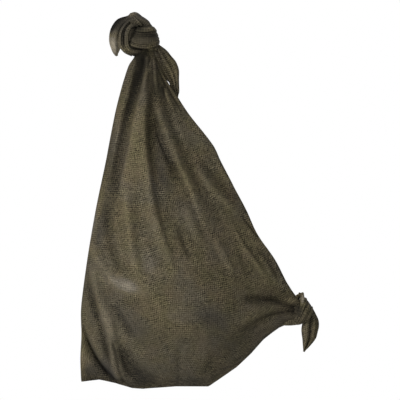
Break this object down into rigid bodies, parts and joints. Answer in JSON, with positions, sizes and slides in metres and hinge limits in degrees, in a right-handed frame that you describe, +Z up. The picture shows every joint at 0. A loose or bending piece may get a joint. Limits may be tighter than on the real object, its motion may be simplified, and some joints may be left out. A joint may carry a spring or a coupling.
{
  "type": "knotted burlap messenger bag",
  "caption": "One-piece burlap sling bag, cloth gathered into a top knot and a side knot, open along one edge, hanging with a slack full belly",
  "frame": {"origin": "the highest point of the top knot, where the bag hangs", "axes": "+Z up, -Y is the front face that the picture shows, +X points towards the side knot and the mouth"},
  "size_m": [0.4767, 0.1595, 0.7507],
  "materials": {
    "burlap": "coarse matt weave, dusty olive brown with darker stains and paler worn folds"
  },
  "bodies": {
    "root": {"burlap_cloth": "burlap"}
  },
  "joints": []
}
